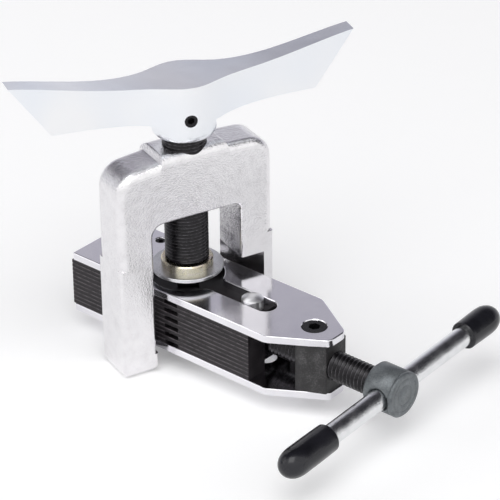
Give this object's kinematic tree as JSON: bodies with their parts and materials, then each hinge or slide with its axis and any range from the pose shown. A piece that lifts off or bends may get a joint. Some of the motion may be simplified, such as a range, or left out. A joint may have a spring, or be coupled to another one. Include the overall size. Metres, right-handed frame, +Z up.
{
  "type": "flaring tool",
  "caption": "Bar-type flaring tool with interleaved V jaws, a clamp screw with T-bar, a turn-lock yoke, and a feed screw with cone and wing handle.",
  "frame": {"origin": "where the axis of the clamped tube, which is also the feed screw's axis, crosses the top face of the bar", "axes": "+Z up along the feed screw, +X along the bar to its tapered nose and the clamp screw, +Y across the bar"},
  "size_m": [0.1697, 0.1425, 0.1431],
  "materials": {
    "plate_steel": "polished flat steel",
    "leaf_black": "black oxide, satin",
    "nut_block_black": "black oxide on a rough block",
    "screw_black": "black oxide threads",
    "phosphate": "dark grey phosphate, turned",
    "bright_pin": "polished",
    "zinc_rod": "bright zinc plate",
    "black_vinyl": "glossy dipped vinyl",
    "yoke_chrome": "chrome over a grained forging",
    "handle_chrome": "polished bright forging",
    "flange_chrome": "polished disc",
    "ring_gold": "yellow-passivated ring",
    "cone_steel": "ground hardened steel"
  },
  "bodies": {
    "bar": {"top_plate": "plate_steel", "bottom_plate": "plate_steel", "clamp_nut_block": "nut_block_black", "nose_screws": "screw_black", "fixed_jaw_pins": "screw_black", "fixed_leaf_1": "leaf_black", "fixed_leaf_2": "leaf_black", "fixed_leaf_3": "leaf_black", "fixed_leaf_4": "leaf_black", "fixed_leaf_5": "leaf_black", "fixed_leaf_6": "leaf_black", "fixed_leaf_7": "leaf_black", "fixed_leaf_8": "leaf_black", "fixed_leaf_9": "leaf_black", "fixed_leaf_10": "leaf_black", "fixed_leaf_11": "leaf_black"},
    "moving_jaw": {"moving_leaf_1": "leaf_black", "moving_leaf_2": "leaf_black", "moving_leaf_3": "leaf_black", "moving_leaf_4": "leaf_black", "moving_leaf_5": "leaf_black", "moving_leaf_6": "leaf_black", "moving_leaf_7": "leaf_black", "moving_leaf_8": "leaf_black", "moving_leaf_9": "leaf_black", "moving_leaf_10": "leaf_black", "moving_leaf_11": "leaf_black", "jaw_guide_pin": "bright_pin", "screw_thrust_block": "screw_black"},
    "clamp_screw": {"clamp_screw": "phosphate"},
    "tbar": {"tbar_rod": "zinc_rod", "tbar_cap_near": "black_vinyl", "tbar_cap_far": "black_vinyl"},
    "yoke": {"yoke": "yoke_chrome"},
    "cone_assembly": {"flaring_cone": "cone_steel", "cone_flange": "flange_chrome", "cone_retainer_ring": "ring_gold"},
    "feed_screw": {"feed_screw": "screw_black", "handle": "handle_chrome", "handle_set_screw": "screw_black"}
  },
  "joints": [
    {"name": "yoke_turn", "type": "hinge", "parent": "bar", "child": "yoke", "pos_m": [0, 0, 0], "axis": [0, 0, 1], "range_deg": [-17, 20]},
    {"name": "cone_feed", "type": "slide", "parent": "yoke", "child": "cone_assembly", "axis": [0, 0, 1], "range_m": [0, 0.0242]},
    {"name": "feed_turn", "type": "hinge", "parent": "cone_assembly", "child": "feed_screw", "pos_m": [0, 0, 0.05], "axis": [0, 0, 1], "range_deg": [0, 5480]},
    {"name": "jaw_slide", "type": "slide", "parent": "bar", "child": "moving_jaw", "axis": [1, 0, 0], "range_m": [-0.0067, 0.007]},
    {"name": "clamp_turn", "type": "hinge", "parent": "moving_jaw", "child": "clamp_screw", "pos_m": [0.1, 0, -0.01471], "axis": [1, 0, 0], "range_deg": [-1234, 1289]},
    {"name": "tbar_slide", "type": "slide", "parent": "clamp_screw", "child": "tbar", "axis": [0, 0.999, 0.0454], "range_m": [-0.038, 0.031]}
  ],
  "couplings": [
    {"joint": "cone_feed", "follows": "feed_turn", "m_per_rad": 0.00025266},
    {"joint": "jaw_slide", "follows": "clamp_turn", "m_per_rad": 0.00031096}
  ]
}
